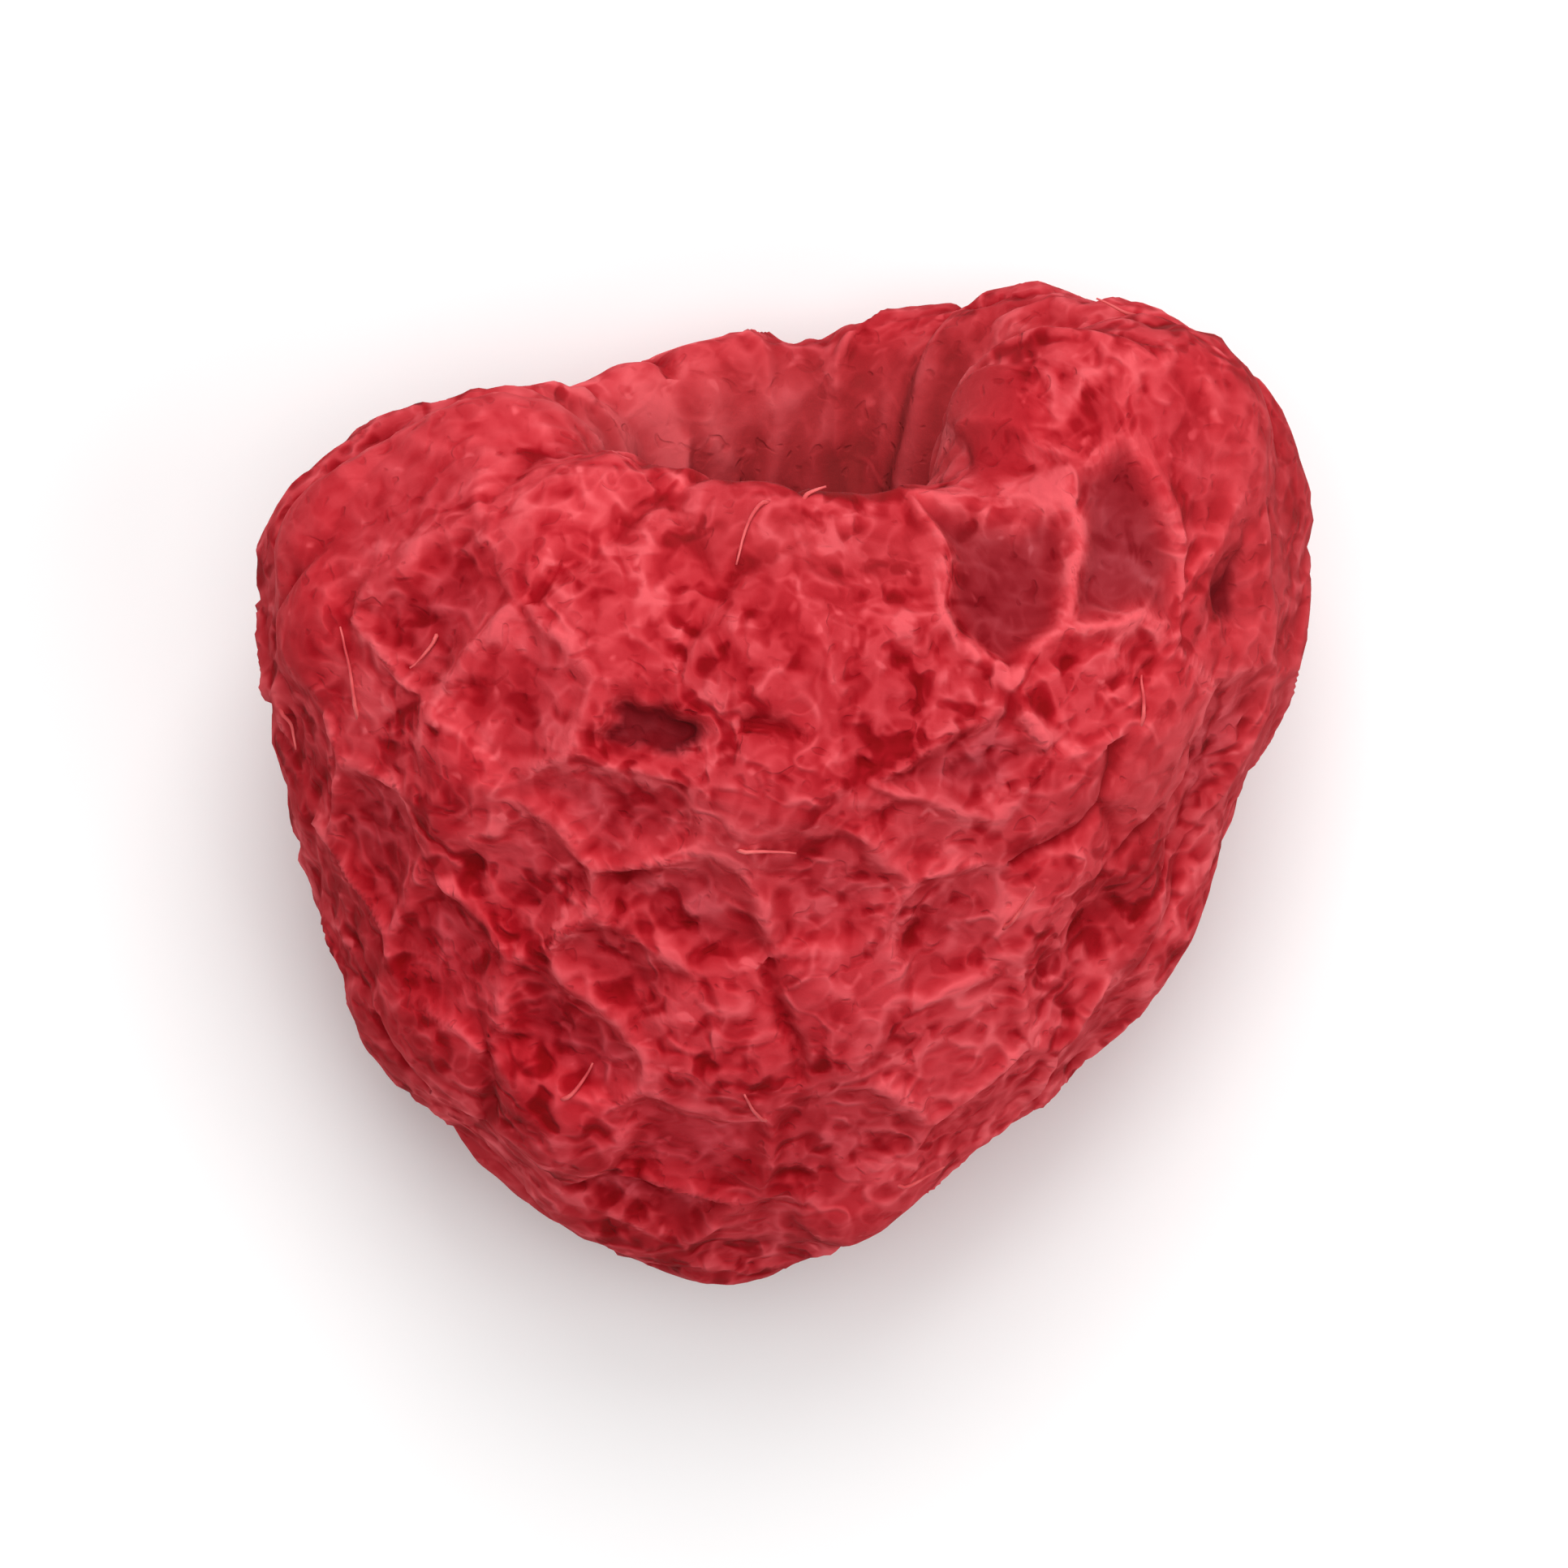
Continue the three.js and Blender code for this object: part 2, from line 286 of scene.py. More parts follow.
def random_numbers(seed):
    state = seed
    while True:
        state = state * 16807 % 2147483647
        yield state / 2147483647


draw = random_numbers(20231)
middles, rises = [], []
for i in range(DRUPELETS):
    middle = direction_to(i * GOLDEN_ANGLE, (i + 0.5) / DRUPELETS)
    middle = middle + JITTER * np.array([2 * next(draw) - 1 for _ in range(3)])
    middles.append(middle / np.linalg.norm(middle))
    low, high = FALLEN if next(draw) < FALLEN_SHARE else FULL
    rises.append(low + (high - low) * next(draw))
middles, rises = np.array(middles), np.array(rises)
marked = np.zeros(DRUPELETS, bool)
for around, share, rise in MARKED:
    place = direction_to(around, share)
    nearest = int(np.argmax(middles @ place))
    middles[nearest], rises[nearest], marked[nearest] = place, rise, True
for _ in range(PUSHES):
    apart = middles[:, None] - middles[None]
    distance = np.linalg.norm(apart, axis=-1)
    close = (distance > 0) & (distance <= ROOM) & ~marked[:, None]
    push = np.where(close, PUSH * (ROOM - distance) / np.where(close, distance, 1), 0)
    middles = unit(middles + (push[:, :, None] * apart).sum(1))
rises = rises * (1 + (BACKS - 1) * smoothstep((1 + middles[:, 2]) / 2, 0.8, 0.9))

# The skin is a fine net of square faces, wrapped round evenly.
GRAIN = 128  # faces along each side of the cube that the net is wrapped from


def wrapped_net(n):
    corners, faces = [], []
    sides = [(0, 1, 2), (1, 2, 0), (2, 0, 1)]
    line = np.arange(n + 1)
    for normal, across, along in sides:
        for end in (0, n):
            grid = np.zeros((n + 1, n + 1, 3), int)
            grid[..., normal] = end
            grid[..., across] = line[:, None]
            grid[..., along] = line[None, :]
            index = np.arange((n + 1) ** 2).reshape(n + 1, n + 1)
            index = index + len(corners) * (n + 1) ** 2
            quad = [index[:-1, :-1], index[1:, :-1], index[1:, 1:], index[:-1, 1:]]
            quad = np.stack(quad if end else quad[::-1], -1).reshape(-1, 4)
            corners.append(grid.reshape(-1, 3))
            faces.append(quad)
    corners, faces = np.concatenate(corners), np.concatenate(faces)
    key = (corners[:, 0] * (n + 1) + corners[:, 1]) * (n + 1) + corners[:, 2]
    _, first, place = np.unique(key, return_index=True, return_inverse=True)
    cube = np.tan((2 * corners[first] / n - 1) * math.pi / 4)
    return unit(cube), place[faces]


directions, faces = wrapped_net(GRAIN)
base = skin(directions)
out_of_skin = outwards(skin, directions)
area = (1 + directions[:, 2]) / 2
angle_round = np.arctan2(directions[:, 1], directions[:, 0])
SPAN = 11.1  # mean millimetres of skin to a radian of the ball


def noise_at(points, size, shift):
    """Smooth noise, about -1 to 1, with lumps of the given size in millimetres."""
    shifted = points / size + shift
    return np.array([noise.noise(p) for p in shifted.tolist()])


def three_noises(size, shift, step):
    return np.stack([noise_at(base, size, step * k + shift) for k in range(3)], -1)


def crests(points, size, width, shift):
    """Narrow crests, 0 to 1, that wander over the skin where the noise is nothing."""
    return hump(noise_at(points, size, shift), 0, width)


def patches(size, low, high, shift):
    """Blurred patches of the skin, 0 to 1."""
    return smoothstep(noise_at(base, size, shift), low, high)


def near(around, share, reach):
    """How near each point is to a place, 1 there and fading over some degrees."""
    return np.exp(-(1 - directions @ direction_to(around, share)) / reach_of(reach))


# Each point belongs to the drupelet whose middle is nearest, and its seam lies half-way to
# the next one. Seams wander, so this is looked up a little off the point.
WANDER = 0.04
FLUTTER = 0.014
NEIGHBOURS = 7
FAR_FROM_SEAM = 9.0
wander = three_noises(size=1.7, shift=3.1, step=10)
flutter = three_noises(size=0.6, shift=5.3, step=10)
looked_up = unit(directions + WANDER * wander + FLUTTER * flutter)
order = np.argsort(-(looked_up @ middles.T), axis=1)[:, :NEIGHBOURS]
own = order[:, 0]
other = order[:, 1].copy()
seam = np.full(len(directions), FAR_FROM_SEAM)
for k in range(1, NEIGHBOURS):
    towards_own = unit(middles[own] - middles[order[:, k]])
    to_seam = np.clip((looked_up * towards_own).sum(-1), -1, 1)
    distance = np.arcsin(to_seam) * SPAN
    nearer = distance < seam
    seam[nearer] = distance[nearer]
    other[nearer] = order[nearer, k]
seam = np.maximum(seam, 0)
rise = rises[own]
inside = smoothstep(seam, 0.1, 0.6)
to_middle = np.clip((looked_up * middles[own]).sum(-1), -1, 1)
from_middle = np.arccos(to_middle) * SPAN

# A drupelet rises or falls steeply beside its seams. One that is torn open keeps its skin
# round a ragged hole, which is narrower where it is deeper.
SEAM_SLOPE = 0.55
RAGGED_COARSE = 0.45
RAGGED_FINE = 0.3
HOLE_WIDTH = 0.8
HOLE_WIDENS = 2.6
DEEPEST = -0.85
torn = rise < TORN_BELOW
ragged = seam + RAGGED_COARSE * noise_at(base, size=1.0, shift=23.7)
ragged = np.maximum(0, ragged + RAGGED_FINE * noise_at(base, size=0.45, shift=29.9))
lift = 1 - np.exp(-((seam / SEAM_SLOPE) ** 1.5))
hole_width = HOLE_WIDTH + HOLE_WIDENS * (rise[torn] - DEEPEST)
lift[torn] = 1 - np.exp(-((ragged[torn] / hole_width) ** 3))

# Wrinkles: a coarse and a fine tangle of crests, rings in some drupelets, folds in others,
# and dents and pits where the flesh under the skin is gone.
COARSE_WRINKLES = 0.07
MIDDLING_WRINKLES = 0.05
FINE_WRINKLES = 0.01
RING_HEIGHT = 0.03
RING_APART = 0.65
RINGED_SHARE = 0.25
FOLD_HEIGHT = 0.03
FOLD_APART = 0.55
FOLDED_SHARE = 0.3
DENT_DEPTH = 0.07
PIT_DEPTH = 0.085
mood = np.array([next(draw) for _ in range(DRUPELETS)])[own]
tilts = unit(np.array([[2 * next(draw) - 1 for _ in range(3)] for _ in middles]))[own]
bent = base + 0.4 * three_noises(size=0.9, shift=41.7, step=7)
coarse = crests(bent, size=1.1, width=0.17, shift=5.5)
coarse *= patches(size=1.4, low=-0.35, high=0.2, shift=51.9)
middling = crests(bent, size=0.72, width=0.24, shift=9.1)
middling *= patches(size=1.1, low=-0.35, high=0.2, shift=15.7)
fine = crests(bent, size=0.5, width=0.3, shift=19.3)
fine *= patches(size=0.9, low=-0.3, high=0.3, shift=25.1)
ripple = noise_at(base, size=0.8, shift=11.9)
rings = np.cos(2 * math.pi * from_middle / RING_APART + 2.5 * ripple) * inside
along_folds = (base * tilts).sum(-1)
folds = np.cos(2 * math.pi * along_folds / FOLD_APART + 3 * ripple) * inside
dents = patches(size=0.95, low=0.1, high=0.5, shift=93.1)
pits = smoothstep(noise_at(bent, size=0.62, shift=83.3), 0.12, 0.5) * inside
busy = 0.4 + 0.6 * patches(size=2.4, low=-0.3, high=0.25, shift=29.3)
hollow = smoothstep(area, 0.79, 0.86)
crumple = COARSE_WRINKLES * coarse + MIDDLING_WRINKLES * middling + FINE_WRINKLES * fine
crumple += RING_HEIGHT * rings * (mood < RINGED_SHARE)
crumple += FOLD_HEIGHT * folds * (mood > 1 - FOLDED_SHARE)
crumple -= (DENT_DEPTH * dents + PIT_DEPTH * pits) * (1 - 0.85 * hollow)
crumple *= np.where(rise < 0, 1.0, 0.75) * busy

# A drupelet that has fallen in has a rim inside its seam.
RIM_DEPTH = 0.05
rim = hump(seam, 0.38, 0.2) * (rise < 0)
rim *= patches(size=1.3, low=-0.4, high=0.2, shift=87.9)

# The net of seams stands proud between drupelets that have fallen in, and is a groove
# between full ones. It is broken on top, but whole round the marked drupelets, and nearly so
# on the sides and below.
NET_WIDTH = 0.17
NET_HEIGHT = 0.1
NET_TO_GROOVE = 0.3
NET_ON_SIDES = 0.85
NET_ROUND_MARKED = 0.6
WHOLE_UP_TO = 0.8  # share of the area, just inside the lip
pair = (rises[own] + rises[other]) / 2
greyed = [int(np.argmax(middles @ direction_to(*place))) for place in DUSKY]
beside_dusky = np.isin(own, greyed) | np.isin(other, greyed)
round_marked = (marked[own] | marked[other]) * np.where(beside_dusky, 1.0, NET_ROUND_MARKED)
on_sides = smoothstep(directions @ direction_to(270, 0.5), 0.4, 0.05)
whole = np.maximum(round_marked, NET_ON_SIDES * on_sides) * (area < WHOLE_UP_TO)
broken = 0.3 + 0.7 * patches(size=1.2, low=-0.35, high=0.25, shift=71.1)
net = hump(seam, 0, NET_WIDTH) * np.maximum(broken, whole) * ~torn
net_height = NET_HEIGHT - NET_TO_GROOVE * smoothstep(pair, -0.12, 0.25)
seams = net_height * net

# The round back of one drupelet swells out inside the mouth, on the right: an oval, smooth,
# with a pale rim on the hollow's side. It is laid out in degrees of the ball, round the lip
# and over it.
BACK_HEIGHT = 0.28
BACK_AROUND = 320
BACK_SHARE = 0.819
DEGREES_ROUND = 0.77  # of the ball, to a degree round the axis there
DEGREES_OVER = 149  # of the ball, to the whole area at the rate of that place
LONG_AXIS = (0.955, 0.3)  # the oval's, round the lip and over it
BACK_LONG = 11.5
BACK_WIDE = 3.0
BACK_OFF = 0.8  # how far the oval's middle is from the place, on its outer side
turned = (np.degrees(angle_round) - BACK_AROUND + 180) % 360 - 180
round_by = DEGREES_ROUND * turned
over_lip = DEGREES_OVER * (area - BACK_SHARE)
lengthwise = LONG_AXIS[0] * round_by + LONG_AXIS[1] * over_lip
sideways = LONG_AXIS[0] * over_lip - LONG_AXIS[1] * round_by
from_back = np.hypot(lengthwise / BACK_LONG, (sideways + BACK_OFF) / BACK_WIDE)
smooth_back = 1 - smoothstep(from_back, 0.85, 1.15)
back_rim = hump(from_back, 1.1, 0.14) * smoothstep(area, 0.8, 0.83)

# Some of the skin stayed smooth: the top of the left lobe and the hollow's wall, which have
# soft folds, the round back and a few calm places.
CALM = [  # degrees round the axis, share of the area, reach, how calm
    (200, 0.6, 15, 0.45),  # flank of the left lobe
    (346, 0.6, 17, 0.5),  # right lobe
    (323, 0.45, 9, 0.5),  # patch under it
    (324, 0.727, 4, 0.75),  # over the greyed drupelets
]
LIP_FOLD_HEIGHT = 0.03
LIP_FOLD_APART = 0.021
WALL_FOLD_HEIGHT = 0.075
WALL_FOLDS = 23
LUMP_HEIGHT = 0.12
smooth_lobe = np.minimum(1, 1.3 * near(205, 0.765, 13))
dusky_cells = np.isin(own, greyed) * smoothstep(seam, 0.05, 0.5)
quiet = (1 - 0.7 * smooth_lobe) * (1 - 0.5 * hollow) * (1 - 0.85 * smooth_back)
quiet *= 1 - 0.4 * dusky_cells
for around, share, reach, calm in CALM:
    quiet *= 1 - calm * near(around, share, reach)
along_lip = 2 * math.pi * area / LIP_FOLD_APART
lip_folds = np.cos(along_lip + 4 * noise_at(base, size=2.2, shift=35.1))
wall_folds = np.cos(WALL_FOLDS * angle_round + 1.8 * noise_at(base, size=1.6, shift=37.7))
detail = (seams + crumple - RIM_DEPTH * rim) * quiet
detail += LIP_FOLD_HEIGHT * smooth_lobe * lip_folds
detail += WALL_FOLD_HEIGHT * hollow * wall_folds * (1 - smooth_back)
lumps = LUMP_HEIGHT * noise_at(base, size=4.5, shift=61.7) * (1 - 0.6 * hollow)
relief = rise * lift + lumps + detail + BACK_HEIGHT * smooth_back
berry = base + out_of_skin * relief[:, None]

# Laid on its side and pressed where it lies, then fitted to the solid's box.
turn = TILT - math.pi / 2
laid = np.stack(
    [
        berry[:, 0],
        berry[:, 1] * math.cos(turn) - berry[:, 2] * math.sin(turn),
        berry[:, 1] * math.sin(turn) + berry[:, 2] * math.cos(turn),
    ],
    -1,
)
surface = laid[:, 2].min() + PRESSED
bend = np.clip((laid[:, 2] - surface) / BEND, 0, 1)
laid[:, 2] = np.where(bend < 1, surface + BEND * bend * bend * (2 - bend), laid[:, 2])
low, high = laid.min(0), laid.max(0)
box_low, box_high = np.array(berry_low), np.array(berry_high)
fitted = box_low + (laid - low) / (high - low) * (box_high - box_low)

mesh = bpy.data.meshes.new("raspberry_fruit")
mesh.from_pydata(fitted.tolist(), [], faces.tolist())
mesh.update()
mesh.shade_smooth()
fruit = bpy.data.objects.new("raspberry_fruit", mesh)
bpy.context.scene.collection.objects.link(fruit)


def keep(name, values):
    """Stores a value for each point of the fruit, for its material."""
    mesh.attributes.new(name, "FLOAT", "POINT").data.foreach_set(
        "value", np.asarray(values, np.float32)
    )


# Where the skin is paler or darker than its relief alone would make it. The darkening at the
# tip, left of it, on the left lobe's flank, in the crease under the right lobe and in the
# hollow is painted shade.
TONES = [  # degrees round the axis, share of the area, reach, how much paler
    (300, 0.2, 16, 0.5),  # right of the tip
    (222, 0.25, 24, -0.9),  # left of the tip
    (270, 0.02, 22, -0.8),  # the tip
    (205, 0.5, 14, -0.6),  # flank of the left lobe
    (350, 0.7, 16, -0.8),  # top of the right lobe
    (323, 0.45, 9, 0.9),  # patch under it
    (325, 0.295, 5, -1.3),  # crease under it
    (335, 0.335, 5, -1.0),  # end of that crease
    (66, 0.895, 12, -2.8),  # bottom of the hollow
    (355, 0.88, 8, -1.6),  # hollow's wall behind the round back
    (128, 0.84, 9, 1.8),  # hollow's wall on the far left
]
SHOWN_SPREAD = 0.13  # millimetres of relief that go from middling to palest
# The higher the skin stands, the paler it is painted: partly its own colour, partly painted
# shade in the pits and a painted highlight on the crests.
shown = detail + 0.1 * np.maximum(0, seams) - 0.04 * pits * busy * quiet
front = hump(np.degrees(angle_round) % 360, 271, 29)
tone = 0.9 * smooth_lobe + 2.2 * back_rim - 0.6 * smooth_back
tone += 1.5 * hollow * noise_at(base, size=1.0, shift=57.1)
for around, share, reach, paler in TONES:
    tone += paler * near(around, share, reach)
crest_flakes_and_highlight = patches(size=0.8, low=-0.2, high=0.3, shift=13.3)
# Painted highlight along the front lip's crest, broken into pale flakes.
tone += 2.0 * front * hump(area, 0.772, 0.01) * crest_flakes_and_highlight
# Painted shade on the inner side of the front lip.
tone -= 3.4 * front * smoothstep(area, 0.8, 0.814)
# Painted shade deep in the hollow, except on the round back.
tone -= 1.3 * smoothstep(area, 0.855, 0.89) * (1 - near(45, 0.85, 9))
rubbed = 0.6 * near(346, 0.58, 19) + 0.5 * near(323, 0.45, 9)
rubbed += 0.5 * front * hump(area, 0.765, 0.02)
keep("raised", np.clip((shown - shown.mean()) / SHOWN_SPREAD, -1, 1))
keep("busy", busy * quiet * (1 - 0.8 * smoothstep(area, 0.82, 0.88)))
keep("crumpled", quiet)
keep("tone", tone)
keep("fallen", smoothstep(-rise * lift, 0.1, 0.6))
keep("tint", np.array([next(draw) for _ in range(DRUPELETS)])[own])
# Painted shade: a deeper red at the tip and left of it.
keep("shaded_tip", near(262, 0.1, 22) + near(222, 0.27, 18))
keep("dusky", np.minimum(1, dusky_cells + 0.5 * near(295, 0.555, 7)))
keep("faded", np.maximum(hollow, rubbed))
# Painted shade: the dark inside of the broken-open holes.
keep("torn", smoothstep(-rise * lift * torn, 0.4, 0.55))

# Dried skin: matte crimson, paler where it is drawn over a ridge and rubbed to powder,
# darker in the pits and in the drupelets that have fallen in. Part of that paleness is a
# painted highlight on the crests, and part of that darkness is painted shade in the pits.
dried_skin = bpy.data.materials.new("dried_skin")
dried_skin.use_nodes = True
nodes = dried_skin.node_tree.nodes
links = dried_skin.node_tree.links
shader = nodes["Principled BSDF"]
coordinates = nodes.new("ShaderNodeTexCoord")


def value_of(name):
    node = nodes.new("ShaderNodeAttribute")
    node.attribute_name = name
    return node.outputs["Fac"]


def sum_of(a, factor, b=0.0):
    """a times the factor, plus b."""
    node = nodes.new("ShaderNodeMath")
    node.operation = "MULTIPLY_ADD"
    links.new(a, node.inputs[0])
    node.inputs[1].default_value = factor
    if isinstance(b, float):
        node.inputs[2].default_value = b
    else:
        links.new(b, node.inputs[2])
    return node.outputs[0]


def product_of(a, b):
    node = nodes.new("ShaderNodeMath")
    node.operation = "MULTIPLY"
    links.new(a, node.inputs[0])
    links.new(b, node.inputs[1])
    return node.outputs[0]


def speckle(size, detail, roughness, twist=0.0):
    """Noise over the skin, 0 to 1, with spots of the given size in millimetres."""
    node = nodes.new("ShaderNodeTexNoise")
    node.inputs["Scale"].default_value = 1 / (size * MM)
    node.inputs["Detail"].default_value = detail
    node.inputs["Roughness"].default_value = roughness
    node.inputs["Distortion"].default_value = twist
    links.new(coordinates.outputs["Object"], node.inputs["Vector"])
    return node.outputs["Fac"]


def between(value, low, high):
    """0 at the first limit and 1 at the other, whichever way round they are."""
    node = nodes.new("ShaderNodeMapRange")
    node.interpolation_type = "SMOOTHSTEP"
    node.inputs["From Min"].default_value = low
    node.inputs["From Max"].default_value = high
    links.new(value, node.inputs["Value"])
    return node.outputs["Result"]


def sharp_wrinkles(size, width, twist):
    """Thin crests, 0 to 1, where the noise is half-way."""
    off = nodes.new("ShaderNodeMath")
    off.operation = "ABSOLUTE"
    links.new(sum_of(speckle(size, 0.5, 0.5, twist), 1.0, -0.5), off.inputs[0])
    return between(off.outputs[0], width, 0.0)


def ramp(stops, factor):
    node = nodes.new("ShaderNodeValToRGB")
    elements = node.color_ramp.elements
    while len(elements) < len(stops):
        elements.new(0.5)
    for element, (at, colour) in zip(elements, stops):
        element.position = at
        element.color = (*colour, 1)
    links.new(factor, node.inputs["Fac"])
    return node.outputs["Color"]


def tinted(kind, amount, below, colour):
    node = nodes.new("ShaderNodeMix")
    node.data_type = "RGBA"
    node.blend_type = kind
    links.new(amount, node.inputs["Factor"])
    links.new(below, node.inputs["A"])
    node.inputs["B"].default_value = (*colour, 1)
    return node.outputs["Result"]


crumpled = value_of("crumpled")
in_patches = between(speckle(size=1.6, detail=1.0, roughness=0.5), 0.36, 0.52)
wrinkles = sharp_wrinkles(size=1.1, width=0.12, twist=0.5)
wrinkles = product_of(wrinkles, product_of(crumpled, in_patches))
creases = product_of(sharp_wrinkles(size=0.6, width=0.15, twist=0.4), crumpled)
specks = between(speckle(size=0.42, detail=1.0, roughness=0.5, twist=0.6), 0.4, 0.28)
# Pale flecks: partly pale powder, partly painted glints of light.
pale_flecks_and_glints = between(speckle(size=0.45, detail=1.0, roughness=0.5, twist=0.4), 0.64, 0.84)
strokes = between(speckle(size=0.62, detail=0.4, roughness=0.5, twist=0.9), 0.54, 0.27)
strokes = product_of(strokes, value_of("busy"))
blotches = speckle(size=2.6, detail=3.0, roughness=0.55)
grains = speckle(size=0.16, detail=3.0, roughness=0.65)

# How pale the skin is, from 0 in the pits to 1 on the powdery crests: the dried skin's own
# colour, with painted shade in the pits and a painted highlight on the crests.
MIDDLING_PALE = 0.5
PALER = [
    (value_of("raised"), 0.34),
    (creases, 0.13),
    (wrinkles, 0.26),
    (pale_flecks_and_glints, 0.35),
    (grains, 0.06),
    (blotches, 0.4),
    (specks, -0.1),
    (value_of("tone"), 0.15),
    (strokes, -0.41),
]
pale = MIDDLING_PALE
for marks, amount in PALER:
    pale = sum_of(marks, amount, pale)
pale = sum_of(value_of("faded"), 0.06, sum_of(pale, 1.08, -0.24))
CRIMSONS = [
    (0.0, (0.23, 0.002, 0.004)),
    (0.28, (0.335, 0.005, 0.011)),
    (0.52, (0.47, 0.021, 0.030)),
    (0.76, (0.60, 0.050, 0.062)),
    (1.0, (0.74, 0.10, 0.115)),
]
TINTS = [  # value, how it is laid over, its strength and its colour
    # Darker in the drupelets that have fallen in: partly their own colour, partly painted
    # shade in their dishes.
    ("fallen", "MULTIPLY", 0.65, (0.65, 0.55, 0.66)),
    ("tint", "MULTIPLY", 0.5, (0.7, 0.5, 0.55)),
    # Painted shade: a deeper red at the tip and left of it.
    ("shaded_tip", "MULTIPLY", 0.8, (1.0, 0.72, 0.8)),
    ("dusky", "MULTIPLY", 0.75, (0.5, 0.62, 0.62)),
    ("faded", "MIX", 0.35, (0.40, 0.055, 0.058)),
    # Painted shade: the broken-open holes are painted nearly black inside.
    ("torn", "MIX", 0.85, (0.14, 0.003, 0.006)),
]
skin_colour = ramp(CRIMSONS, pale)
for name, kind, strength, colour in TINTS:
    skin_colour = tinted(kind, sum_of(value_of(name), strength), skin_colour, colour)
links.new(skin_colour, shader.inputs["Base Color"])
shader.inputs["Roughness"].default_value = 0.78
shader.inputs["Specular IOR Level"].default_value = 0.04
shader.inputs["Sheen Weight"].default_value = 0.01
shader.inputs["Sheen Roughness"].default_value = 0.6

BUMP_HEIGHT = 0.07 * MM
BUMPS = [(grains, 0.2), (specks, -0.3), (creases, 0.15), (wrinkles, 0.45), (strokes, -0.65)]
bumps = 0.0
for marks, amount in BUMPS:
    bumps = sum_of(marks, amount, bumps)
bump = nodes.new("ShaderNodeBump")
bump.inputs["Strength"].default_value = 1.0
bump.inputs["Distance"].default_value = BUMP_HEIGHT
links.new(bumps, bump.inputs["Height"])
links.new(bump.outputs["Normal"], shader.inputs["Normal"])
mesh.materials.append(dried_skin)

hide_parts("raspberry")
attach(fruit, "root")


# The styles.
# A dry, pale thread is left of the flower on some of the drupelets. Each grows out of the
# skin, and most lie pressed along it.

STYLES = [  # degrees round the axis, share of the area, length, bearing, lift at the end
    (217, 0.49, 2.0, 80, 0.05),
    (266, 0.79, 1.1, 200, 0.1),
    (272, 0.8, 0.7, 40, 0.15),
    (268, 0.44, 1.2, 25, 0.1),
    (243, 0.17, 0.9, 10, 0.1),
    (304, 0.085, 0.8, 330, 0.12),
    (275, 0.15, 1.3, 130, 0.05),
    (304, 0.32, 1.3, 70, 0.05),
    (318, 0.52, 1.2, 80, 0.06),
    (228, 0.61, 0.7, 300, 0.15),
    (20, 0.755, 0.7, 100, 0.45),
    (30, 0.5, 1.4, 20, 0.15),
    (36, 0.68, 1.0, 140, 0.12),
    (140, 0.55, 1.3, 250, 0.1),
    (165, 0.35, 1.0, 60, 0.15),
    (10, 0.25, 1.1, 190, 0.1),
    (196, 0.46, 0.9, 320, 0.08),
]
STYLE_STEPS = 10
STYLE_SIDES = 6
STYLE_RADIUS = 0.055
TAPER = 0.6
CURL = 1.2
ROOT_DEPTH = 0.06
CLEAR_OF_SKIN = 0.07
SKIN_BLUR = 0.9  # degrees of skin that a thread's height is taken from
corner_normals = np.empty(3 * len(mesh.vertices))
mesh.vertex_normals.foreach_get("vector", corner_normals)
corner_normals = corner_normals.reshape(-1, 3)


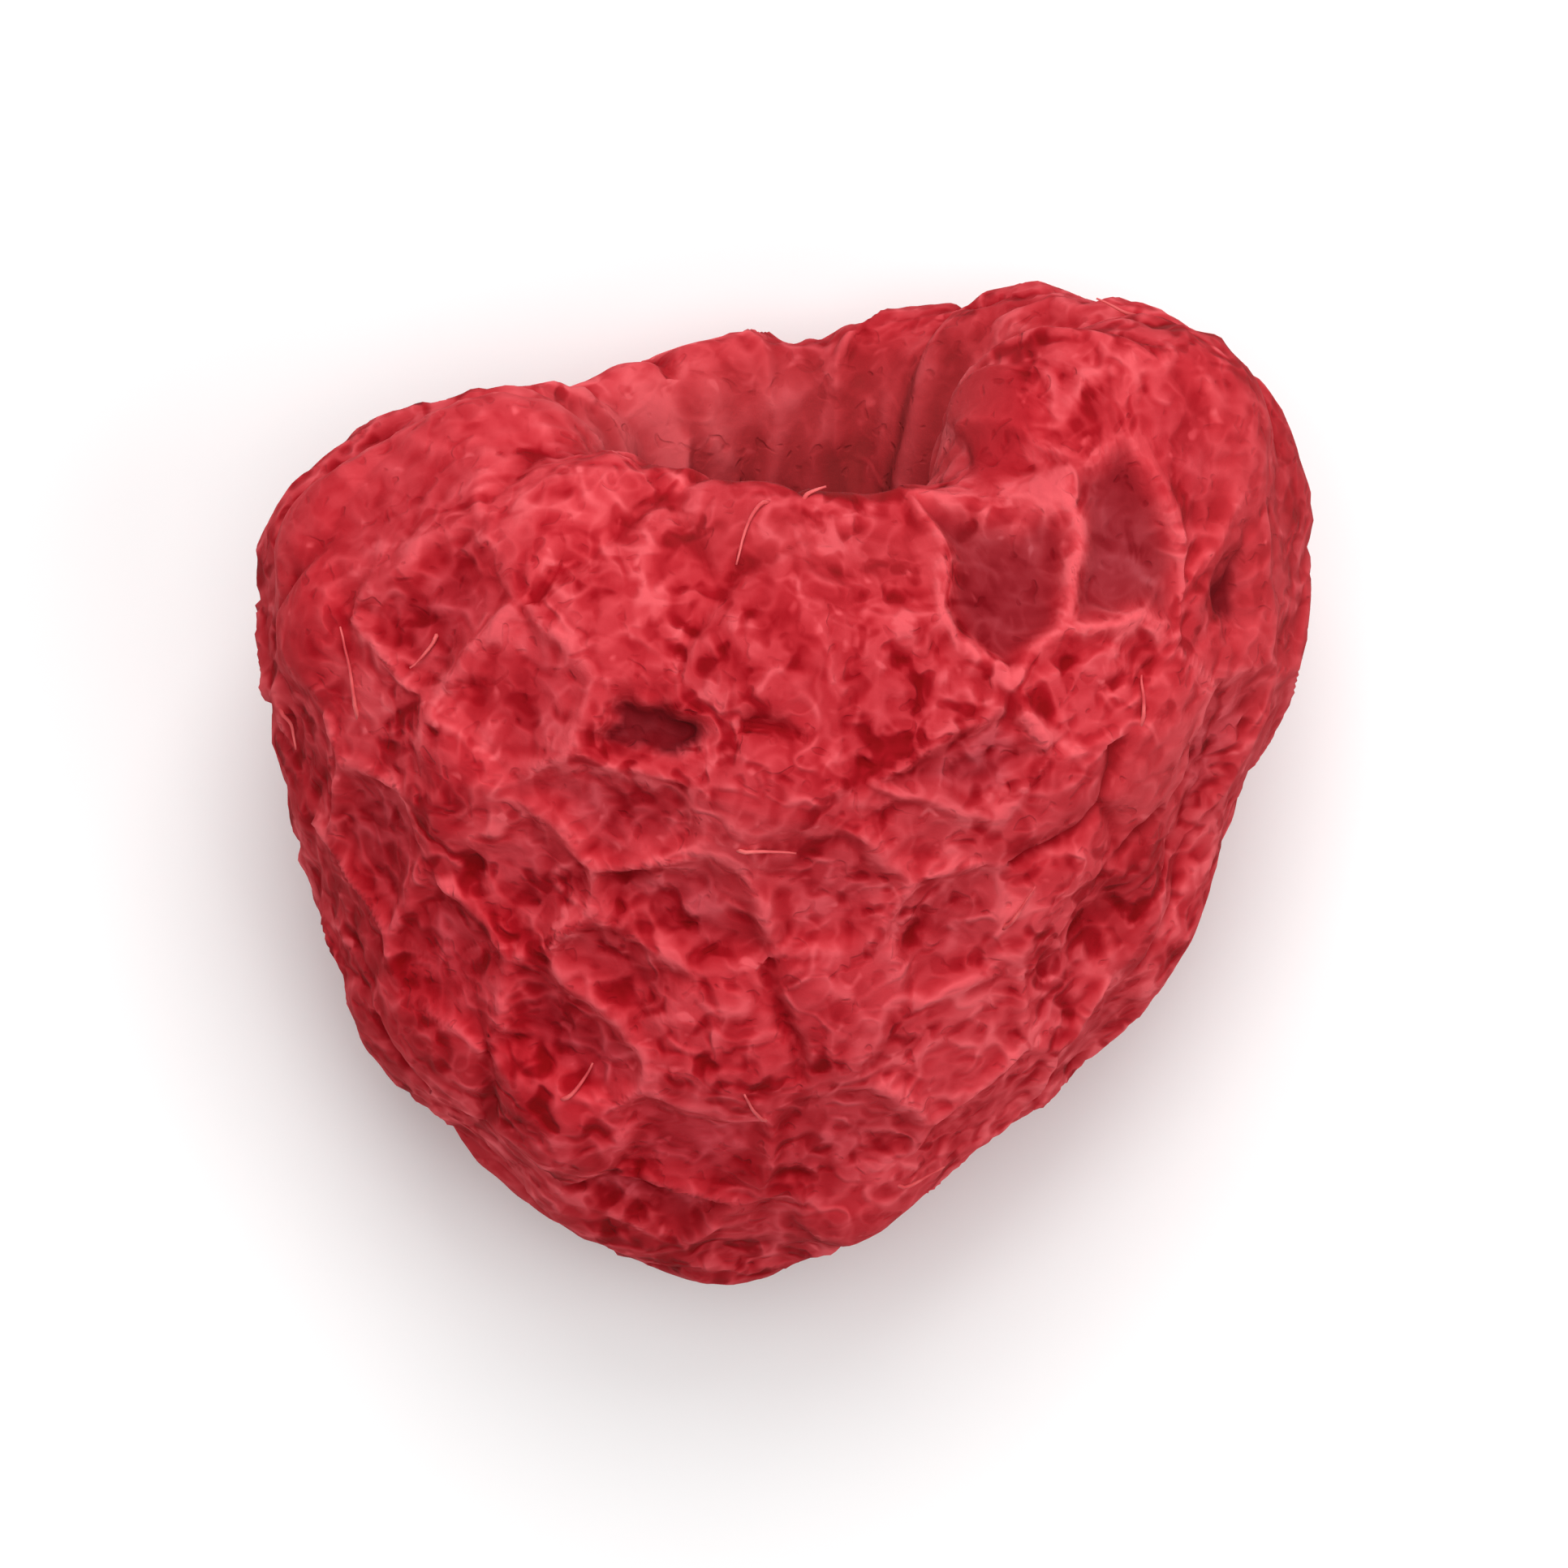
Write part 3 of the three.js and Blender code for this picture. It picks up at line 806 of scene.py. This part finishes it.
def spine_of(around, share, length, bearing, lift_at_end):
    """Points along a thread that lies on the skin, from its root."""
    start = direction_to(around, share)
    east = unit(np.array([-start[1], start[0], 0.0]))
    north = np.cross(start, east)
    heading = math.radians(bearing)
    along = east * math.cos(heading) + north * math.sin(heading)
    aside = np.cross(start, along) * CURL * (2 * next(draw) - 1)
    spine = []
    for u in np.linspace(0, 1, STYLE_STEPS + 1):
        at = unit(start + (along * u + aside * u * u) * length / SPAN)
        weight = np.exp(-(1 - directions @ at) / reach_of(SKIN_BLUR))
        place = weight @ fitted / weight.sum()
        out = unit(weight @ corner_normals)
        up = (ROOT_DEPTH + CLEAR_OF_SKIN) * min(1, 5 * u) - ROOT_DEPTH
        spine.append(place + out * (up + lift_at_end * u * u) * MM)
    return start, np.array(spine)


style_points, style_faces = [], []
for style in STYLES:
    start, spine = spine_of(*style)
    first = len(style_points)
    for k, place in enumerate(spine):
        ahead = unit(spine[min(k + 1, STYLE_STEPS)] - spine[max(k - 1, 0)])
        across = unit(np.cross(ahead, start))
        over = np.cross(across, ahead)
        radius = STYLE_RADIUS * (1 - TAPER * k / STYLE_STEPS) * MM
        for side in range(STYLE_SIDES):
            angle = 2 * math.pi * side / STYLE_SIDES
            outward = across * math.cos(angle) + over * math.sin(angle)
            style_points.append(tuple(place + radius * outward))
    for k in range(STYLE_STEPS):
        ring = first + k * STYLE_SIDES
        for side in range(STYLE_SIDES):
            a, b = ring + side, ring + (side + 1) % STYLE_SIDES
            style_faces.append((a, b, b + STYLE_SIDES, a + STYLE_SIDES))
    end = first + STYLE_STEPS * STYLE_SIDES
    style_faces.append(tuple(first + side for side in reversed(range(STYLE_SIDES))))
    style_faces.append(tuple(end + side for side in range(STYLE_SIDES)))
style_mesh = bpy.data.meshes.new("raspberry_styles")
style_mesh.from_pydata(style_points, [], style_faces)
style_mesh.shade_smooth()
styles = bpy.data.objects.new("raspberry_styles", style_mesh)
bpy.context.scene.collection.objects.link(styles)

dry_thread = bpy.data.materials.new("dry_thread")
dry_thread.use_nodes = True
nodes = dry_thread.node_tree.nodes
links = dry_thread.node_tree.links
shader = nodes["Principled BSDF"]
coordinates = nodes.new("ShaderNodeTexCoord")
THREAD_REDS = [(0.35, (0.56, 0.05, 0.06)), (0.65, (0.74, 0.13, 0.13))]
thread_colour = ramp(THREAD_REDS, speckle(size=0.5, detail=2.0, roughness=0.5))
links.new(thread_colour, shader.inputs["Base Color"])
shader.inputs["Roughness"].default_value = 0.7
shader.inputs["Specular IOR Level"].default_value = 0.2
style_mesh.materials.append(dry_thread)

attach(styles, "root")
